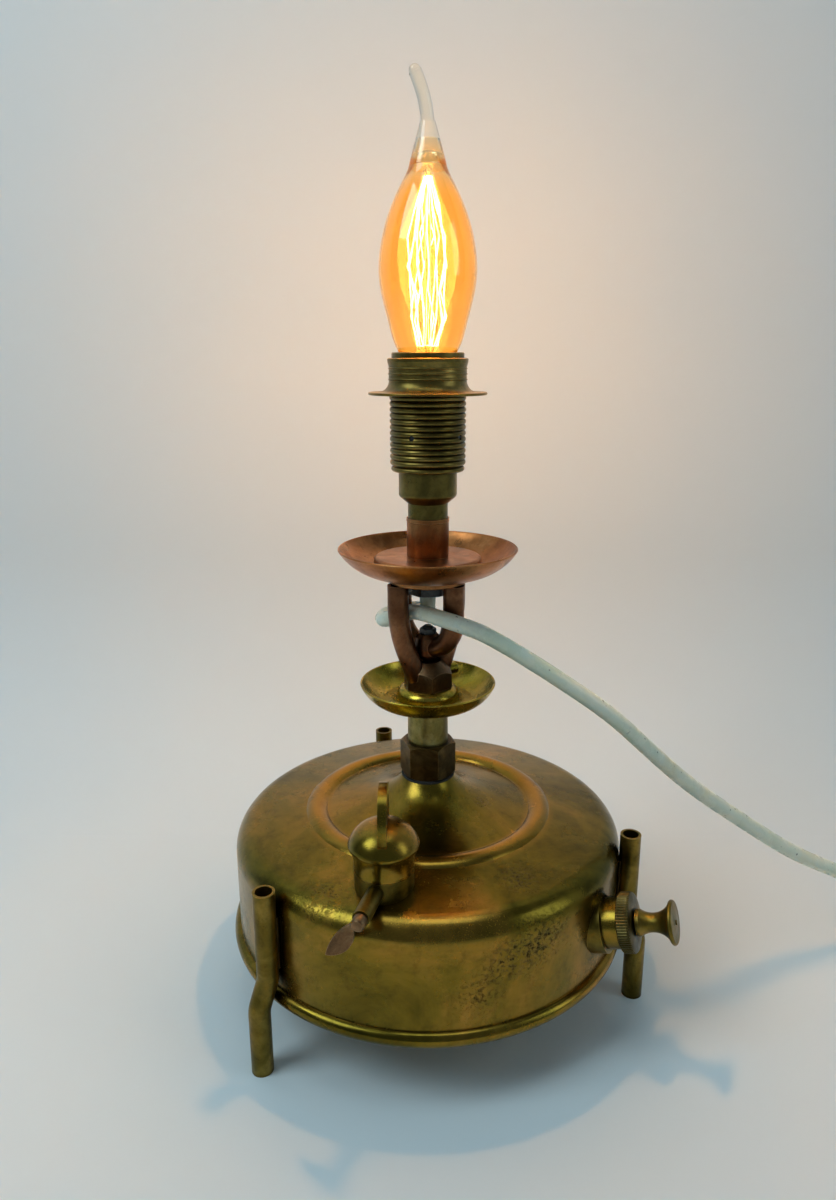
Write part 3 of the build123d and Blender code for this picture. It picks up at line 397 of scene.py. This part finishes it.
nut_bronze = metal(
    "nut_bronze",
    (0.05, 0.030, 0.010),
    (0.10, 0.06, 0.020),
    (0.22, 0.14, 0.05),
    (0.025, 0.015, 0.006),
    patch=60,
    worn=1.0,
)
knurl_bronze = metal(
    "knurl_bronze",
    (0.045, 0.034, 0.010),
    (0.08, 0.06, 0.018),
    (0.17, 0.12, 0.04),
    (0.02, 0.014, 0.006),
    patch=70,
    worn=0.8,
)
copper = metal(
    "copper",
    (0.26, 0.088, 0.026),
    (0.44, 0.16, 0.05),
    (0.62, 0.27, 0.10),
    (0.11, 0.038, 0.013),
    roughness=(0.24, 0.42),
    patch=40,
    brushed=TURNED,
)
tube_copper = metal(
    "tube_copper",
    (0.11, 0.042, 0.018),
    (0.19, 0.075, 0.032),
    (0.32, 0.14, 0.065),
    (0.05, 0.022, 0.011),
    roughness=(0.26, 0.44),
    patch=55,
)
foot_copper = metal(
    "foot_copper",
    (0.10, 0.055, 0.025),
    (0.17, 0.095, 0.045),
    (0.30, 0.18, 0.09),
    (0.05, 0.025, 0.014),
    patch=80,
    worn=0.9,
)
holder_bronze = metal(
    "holder_bronze",
    (0.11, 0.075, 0.018),
    (0.20, 0.135, 0.032),
    (0.34, 0.22, 0.06),
    (0.05, 0.03, 0.010),
    roughness=(0.25, 0.42),
    patch=50,
    brushed=TURNED,
)
dark_steel = metal(
    "dark_steel",
    (0.03, 0.03, 0.03),
    (0.06, 0.055, 0.05),
    (0.12, 0.11, 0.10),
    (0.02, 0.015, 0.01),
    patch=90,
)
bright_steel = metal(
    "bright_steel",
    (0.36, 0.35, 0.32),
    (0.48, 0.47, 0.43),
    (0.62, 0.60, 0.56),
    (0.16, 0.14, 0.11),
    patch=60,
    pits=0.1,
)


# ---------------------------------------------------------------- other materials
def plain(name, dark, light, roughness, patch=60, depth=0.05):
    """Rubber, leather, plastic or bakelite: two tones in clouds, with a fine grain."""
    m = Shader(name)
    m.set(m.surface, "Base Color", m.ramp(m.noise(patch, detail=6), (0.35, dark), (0.65, light)))
    uneven = m.ramp(m.noise(patch * 3), (0.3, roughness - 0.08), (0.7, roughness + 0.08))
    m.set(m.surface, "Roughness", uneven)
    m.set(m.surface, "Normal", m.bump(m.noise(700, detail=4), depth, 0.5))
    return m.material


black_rubber = plain("black_rubber", (0.012, 0.011, 0.010), (0.04, 0.036, 0.033), 0.7)
brown_leather = plain("brown_leather", (0.10, 0.045, 0.02), (0.19, 0.09, 0.045), 0.6, depth=0.15)
bakelite = plain("bakelite", (0.015, 0.010, 0.008), (0.035, 0.024, 0.018), 0.4)
hemp = plain("hemp", (0.50, 0.47, 0.42), (0.78, 0.75, 0.70), 0.8, patch=400)


def lead_material():
    """Aged white sheath: faintly green and yellow clouds, a few dirty specks and scuffs."""
    m = Shader("lead_pvc")
    greenish, white, yellowed = (0.66, 0.74, 0.56), (0.80, 0.82, 0.68), (0.80, 0.74, 0.50)
    tone = m.ramp(m.noise(30, detail=5), (0.35, greenish), (0.55, white), (0.7, yellowed))
    specks = m.ramp(m.noise(520, detail=2, rough=0.5), (0.70, 0.0), (0.74, 1.0))
    tone = m.mix(m.math("MULTIPLY", specks, 0.8), tone, (0.10, 0.09, 0.07))
    scuffs = m.ramp(m.noise(90, detail=8, rough=0.75), (0.62, 0.0), (0.72, 1.0))
    tone = m.mix(m.math("MULTIPLY", scuffs, 0.5), tone, (0.38, 0.36, 0.26))
    m.set(m.surface, "Base Color", tone)
    m.set(m.surface, "Roughness", m.ramp(m.noise(150), (0.3, 0.20), (0.7, 0.34)))
    m.set(m.surface, "Subsurface Weight", 0.15)
    m.set(m.surface, "Subsurface Radius", (0.004, 0.004, 0.003))
    m.set(m.surface, "Normal", m.bump(m.noise(220, detail=3), 0.06, 0.4))
    return m.material


GLASS_FADE_LOW, GLASS_FADE_HIGH = 304.0, 322.0  # heights between which the glass clears


def glass_material(name, low, high, low_glow, high_glow):
    """Glass whose tint and painted glow fade from the bulb's belly to its tail; the glow is emission
    standing in for the filament's light in the glass.
    """
    m = Shader(name)
    height = m.height(GLASS_FADE_LOW, GLASS_FADE_HIGH)
    m.set(m.surface, "Base Color", m.ramp(height, (0.0, low), (1.0, high)))
    m.set(m.surface, "Transmission Weight", 1.0)
    m.set(m.surface, "Roughness", m.ramp(m.noise(60), (0.3, 0.0), (0.8, 0.04)))
    m.set(m.surface, "IOR", 1.45)
    m.set(m.surface, "Emission Color", m.ramp(height, (0.0, low_glow), (1.0, high_glow)))
    m.set(m.surface, "Emission Strength", 1.0)
    return m.material


def glow_material(name, hot, cool, strength):
    """Glowing wire, with its heat a little uneven along it."""
    m = Shader(name)
    m.set(m.surface, "Base Color", (0.3, 0.2, 0.1, 1))
    m.set(m.surface, "Emission Color", m.ramp(m.noise(160), (0.35, cool), (0.6, hot)))
    m.set(m.surface, "Emission Strength", strength)
    return m.material


white_lead = lead_material()
# Both glasses carry a painted glow: emission of their own, standing in for the filament's light lit up in
# the glass.
amber_glass = glass_material(
    "amber_glass", (1.0, 0.72, 0.30), (0.96, 0.94, 0.86), (0.09, 0.030, 0.003), (0.01, 0.006, 0.002)
)
clear_glass = glass_material(
    "clear_glass", (1.0, 0.93, 0.82), (1.0, 0.93, 0.82), (0.25, 0.15, 0.04), (0.25, 0.15, 0.04)
)
hot_wire = glow_material("hot_wire", (1.0, 0.86, 0.60), (1.0, 0.60, 0.22), 11.0)

painted = {
    "tank_shell": tank_brass,
    "tank_base": tank_brass,
    "tank_spigot": aged_brass,
    "leg_1": aged_brass,
    "leg_2": aged_brass,
    "leg_3": aged_brass,
    "filler_neck": aged_brass,
    "filler_cap": tank_brass,
    "filler_wing": tank_brass,
    "vent_tube": aged_brass,
    "vent_screw": foot_copper,
    "pump_collar": aged_brass,
    "pump_barrel": tank_brass,
    "pump_cap": nut_bronze,
    "pump_knob": aged_brass,
    "pump_nut": cup_brass,
    "valve_body": cup_brass,
    "riser_nut": nut_bronze,
    "riser_tube": riser_brass,
    "spirit_cup": cup_brass,
    "burner_base": foot_copper,
    "base_plug": cup_brass,
    "burner_tube_front_left": tube_copper,
    "burner_tube_back_right": tube_copper,
    "burner_u_tube": tube_copper,
    "jet_block": tube_copper,
    "jet_nipple": dark_steel,
    "pipe_nut": dark_steel,
    "burner_head": copper,
    "flame_dish": copper,
    "dish_disc": copper,
    "spacer_tube": copper,
    "lamp_pipe": bright_steel,
    "holder_cup": holder_bronze,
    "holder_skirt": holder_bronze,
    "shade_ring": holder_bronze,
    "holder_collar": holder_bronze,
    "holder_insert": bakelite,
    "socket_shell": cup_brass,
    "bulb_cap": cup_brass,
    "pump_rod": bright_steel,
    "valve_spring": bright_steel,
    "centre_contact": bright_steel,
    "terminals": bright_steel,
    "bulb_contact": bright_steel,
    "plug_pins": bright_steel,
    "nut_washer": black_rubber,
    "union_washer": black_rubber,
    "filler_washer": black_rubber,
    "valve_pip": black_rubber,
    "pump_leather": brown_leather,
    "bulb_glass": amber_glass,
    "bulb_stem": clear_glass,
    "bulb_insulator": bakelite,
    "bulb_filament": hot_wire,
    "inner_cord": white_lead,
    "plug_body": white_lead,
}


def paint(piece, material):
    piece.data.materials.clear()
    piece.data.materials.append(material)


for name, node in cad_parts.items():
    if name in painted:
        paint(node, painted[name])
paint(cord, white_lead)


def soften(name, width, segments=3):
    """Round a CAD node's sharp edges for the looks."""
    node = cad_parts[name]
    weld = node.modifiers.new("weld", "WELD")
    weld.merge_threshold = 0.01 * MM
    bevel = node.modifiers.new("soft_edges", "BEVEL")
    bevel.width = width * MM
    bevel.segments = segments
    bevel.limit_method = "ANGLE"
    bevel.angle_limit = math.radians(50)


soften("filler_wing", 1.1, 5)
soften("vent_screw", 0.35)
soften("plug_body", 1.0)
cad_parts["bulb_glass"].visible_shadow = False

# ---------------------------------------------------------------- the pump's knurled cap
PUMP_AT = Vector((64.3, -43.2, 48.8))
PUMP_TURN, PUMP_TILT = math.radians(-22.3), math.radians(15.0)
pump_out = Vector(
    (
        math.cos(PUMP_TURN) * math.cos(PUMP_TILT),
        math.sin(PUMP_TURN) * math.cos(PUMP_TILT),
        math.sin(PUMP_TILT),
    )
)


KNURL_TEETH, KNURL_DEPTH, STEPS_PER_TOOTH = 64, 0.32, 6
KNURL_LOW, KNURL_HIGH, KNURL_FROM_R = 8.3, 12.0, 10.6  # the stretch of the outline that is cut into teeth


def knurled(name, outline, around, along):
    """A closed outline of radius and distance, spun about a line and cut into teeth at its rim."""
    side = along.orthogonal().normalized()
    other = along.cross(side)
    steps = KNURL_TEETH * STEPS_PER_TOOTH
    verts = []
    for step in range(steps):
        angle = 2 * math.pi * step / steps
        for r, distance in outline:
            if KNURL_LOW <= distance <= KNURL_HIGH and r > KNURL_FROM_R:
                r -= KNURL_DEPTH * abs(math.cos(KNURL_TEETH * angle / 2)) ** 3
            reach = (side * math.cos(angle) + other * math.sin(angle)) * r
            verts.append((around + along * distance + reach) * MM)
    count = len(outline)
    faces = []
    for step in range(steps):
        here, there = step * count, ((step + 1) % steps) * count
        for corner in range(count):
            after = (corner + 1) % count
            faces.append((here + corner, there + corner, there + after, here + after))
    mesh = bpy.data.meshes.new(name)
    mesh.from_pydata(verts, [], faces)
    mesh.validate()
    mesh.shade_smooth()
    mesh.set_sharp_from_angle(angle=math.radians(35))
    piece = bpy.data.objects.new(name, mesh)
    scene.collection.objects.link(piece)
    return piece


UP = Vector((0, 0, 1))
knurled_cap = knurled(
    "knurled_cap",
    [
        (8.8, 7.95),
        (10.2, 7.95),
        (10.75, 8.35),
        (10.75, 8.6),
        (10.75, 9.6),
        (10.75, 10.6),
        (10.75, 11.6),
        (10.75, 11.9),
        (10.35, 12.4),
        (9.7, 12.65),
        (6.6, 12.9),
        (2.6, 12.9),
        (2.1, 12.6),
        (2.1, 11.3),
        (8.8, 11.3),
    ],
    PUMP_AT,
    pump_out,
)
paint(knurled_cap, knurl_bronze)
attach(knurled_cap, "stove")
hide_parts("pump_cap")

# ---------------------------------------------------------------- bulb: glowing wire and its hooks
random.seed(7)
WIRE_RUNS, WIRE_LOW, WIRE_HIGH = 15, 254.6, 309.6
WIRE_RADII = (3.6, 6.4, 5.4, 7.0, 6.2, 4.2, 1.3)  # of the bundle, from its foot to its top
wire = []
for run in range(WIRE_RUNS):
    angle = math.radians(12 + 336 * run / (WIRE_RUNS - 1))
    steps = list(enumerate(WIRE_RADII))
    if run % 2:
        steps.reverse()
    for step, r in steps:
        at_end = step in (0, len(WIRE_RADII) - 1)
        r += random.uniform(-0.2, 0.2) if at_end else random.uniform(-1.5, 0.9)
        turn = angle + random.uniform(-0.3, 0.3)
        share = step / (len(WIRE_RADII) - 1)
        z = WIRE_LOW + (WIRE_HIGH - WIRE_LOW) * share + random.uniform(-1.2, 1.2) * (not at_end)
        wire.append((r * math.cos(turn), r * math.sin(turn), z))
filament = curve_piece("glowing_wire", [wire], 0.24, smooth=False)
paint(filament, hot_wire)
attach(filament, "bulb")
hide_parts("bulb_filament")

HOOKS_ROUND = 7
UPPER_HOOK = ((0.6, 313.4), (1.9, 312.2), (1.4, 309.5))  # radius and height along it
LOWER_HOOK = ((0.9, 252.2), (2.6, 252.0), (3.7, 254.5))
hooks = []
for hook in range(HOOKS_ROUND):
    angle = 2 * math.pi * hook / HOOKS_ROUND
    for profile in (UPPER_HOOK, LOWER_HOOK):
        hooks.append([(r * math.cos(angle), r * math.sin(angle), z) for r, z in profile])
for side in (1, -1):
    hooks.append([(3.0 * side, 0, 248.0), (4.6 * side, 0, 252.0), (3.6 * side, 1.0, 255.0)])
wire_hooks = curve_piece("wire_hooks", hooks, 0.16)
paint(wire_hooks, bright_steel)
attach(wire_hooks, "bulb")

# ---------------------------------------------------------------- hemp at the locknut
HEMP_X, HEMP_Y, HEMP_Z, HEMP_TOP = -7.2, -3.6, 166.6, 168.2
HEMP_STRANDS, STRAND_POINTS = 16, 5
strands = []
for _ in range(HEMP_STRANDS):
    x = HEMP_X + random.uniform(-0.8, 0.8)
    y = HEMP_Y + random.uniform(-1.4, 1.4)
    z = HEMP_Z + random.uniform(-1.2, 1.2)
    line = []
    for _ in range(STRAND_POINTS):
        line.append((x, y, z))
        x += random.uniform(-0.8, 0.8)
        y += random.uniform(-0.8, 0.8)
        z = min(HEMP_TOP, z + random.uniform(-0.7, 0.7))
    strands.append(line)
tuft = curve_piece("hemp_tuft", strands, 0.14)
paint(tuft, hemp)
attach(tuft, "stove")

# ---------------------------------------------------------------- solder where the legs meet the tank
LEG_TURNS = (225.6, 345.6, 105.6)
SOLDER_R, SOLDER_OFF, SOLDER_LOW, SOLDER_STEP, SOLDER_POINTS = 78.15, 1.75, 40.0, 2.6, 9
for number, turn in enumerate(LEG_TURNS, start=1):
    out = Vector((math.cos(math.radians(turn)), math.sin(math.radians(turn)), 0))
    across = UP.cross(out)
    beads = []
    for side in (-1, 1):
        bead = []
        for step in range(SOLDER_POINTS):
            wander = random.uniform(-0.25, 0.25)
            outwards = out * (SOLDER_R + 0.5 * wander)
            sideways = across * side * (SOLDER_OFF + wander)
            bead.append(tuple(outwards + sideways + UP * (SOLDER_LOW + SOLDER_STEP * step)))
        beads.append(bead)
    solder = curve_piece(f"leg_solder_{number}", beads, 0.85)
    paint(solder, nut_bronze)
    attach(solder, "stove")

# ---------------------------------------------------------------- floor, backdrop and light
FLOOR_HALF, SWEEP_FROM, SWEEP_R, SWEEP_LIFT, WALL_TOP = 2.5, 0.10, 0.13, 0.0005, 1.6
SWEEP_STEPS = 16


def sheet(name, profile, material):
    """A stage sheet through points of Y and Z, as wide as the floor."""
    verts = [(x, y, z) for y, z in profile for x in (-FLOOR_HALF, FLOOR_HALF)]
    faces = [(2 * row, 2 * row + 1, 2 * row + 3, 2 * row + 2) for row in range(len(profile) - 1)]
    mesh = bpy.data.meshes.new(name)
    mesh.from_pydata(verts, [], faces)
    mesh.shade_smooth()
    piece = bpy.data.objects.new(name, mesh)
    scene.collection.objects.link(piece)
    paint(piece, material)


def paper_material(name, one_sided=False):
    """Pale paper; one-sided, its back lets the views from behind through."""
    m = Shader(name)
    m.set(m.surface, "Base Color", (0.74, 0.79, 0.81, 1))
    m.set(m.surface, "Roughness", 0.85)
    if one_sided:
        facing = m.nodes.new("ShaderNodeNewGeometry")
        clear = m.nodes.new("ShaderNodeBsdfTransparent")
        either = m.nodes.new("ShaderNodeMixShader")
        m.links.new(facing.outputs["Backfacing"], either.inputs[0])
        m.links.new(m.surface.outputs[0], either.inputs[1])
        m.links.new(clear.outputs[0], either.inputs[2])
        m.links.new(either.outputs[0], m.nodes["Material Output"].inputs["Surface"])
    return m.material


backdrop_line = []
for step in range(SWEEP_STEPS + 1):
    angle = math.radians(90 * step / SWEEP_STEPS)
    back, up = SWEEP_R * math.sin(angle), SWEEP_R * (1 - math.cos(angle))
    backdrop_line.append((SWEEP_FROM + back, SWEEP_LIFT + up))
backdrop_line.append((SWEEP_FROM + SWEEP_R, WALL_TOP))
sheet("floor", [(-FLOOR_HALF, 0.0), (FLOOR_HALF, 0.0)], paper_material("floor_paper"))
sheet("backdrop", backdrop_line, paper_material("backdrop_paper", one_sided=True))


def area_light(name, where, towards, size, power, colour):
    data = bpy.data.lights.new(name, "AREA")
    data.shape = "RECTANGLE"
    data.size, data.size_y = size
    data.energy = power
    data.color = colour
    light = bpy.data.objects.new(name, data)
    scene.collection.objects.link(light)
    light.location = where
    light.rotation_euler = (Vector(towards) - Vector(where)).to_track_quat("-Z", "Y").to_euler()


PALE_BLUE = (0.72, 0.93, 1.0)
area_light("key", (-0.70, -0.35, 0.95), (0, 0, 0.10), (0.5, 0.6), 5.0, (0.70, 0.91, 1.0))
area_light("fill", (0.95, -0.35, 0.55), (0, 0, 0.10), (0.3, 0.7), 1.2, PALE_BLUE)
area_light("top", (0.0, -0.15, 1.30), (0, 0.05, 0.1), (0.7, 0.4), 1.7, PALE_BLUE)
glow = bpy.data.lights.new("bulb_glow", "POINT")
glow.energy = 1.7
glow.color = (1.0, 0.50, 0.18)
glow.shadow_soft_size = 0.014
bulb_light = bpy.data.objects.new("bulb_glow", glow)
scene.collection.objects.link(bulb_light)
bulb_light.location = (0, 0, 0.285)
bulb_light.visible_camera = False
bulb_light.visible_transmission = False

world = bpy.data.worlds.new("studio")
scene.world = world
world.use_nodes = True
world.node_tree.nodes["Background"].inputs["Color"].default_value = (0.66, 0.86, 1.0, 1)
world.node_tree.nodes["Background"].inputs["Strength"].default_value = 0.14

bpy.context.view_layer.update()
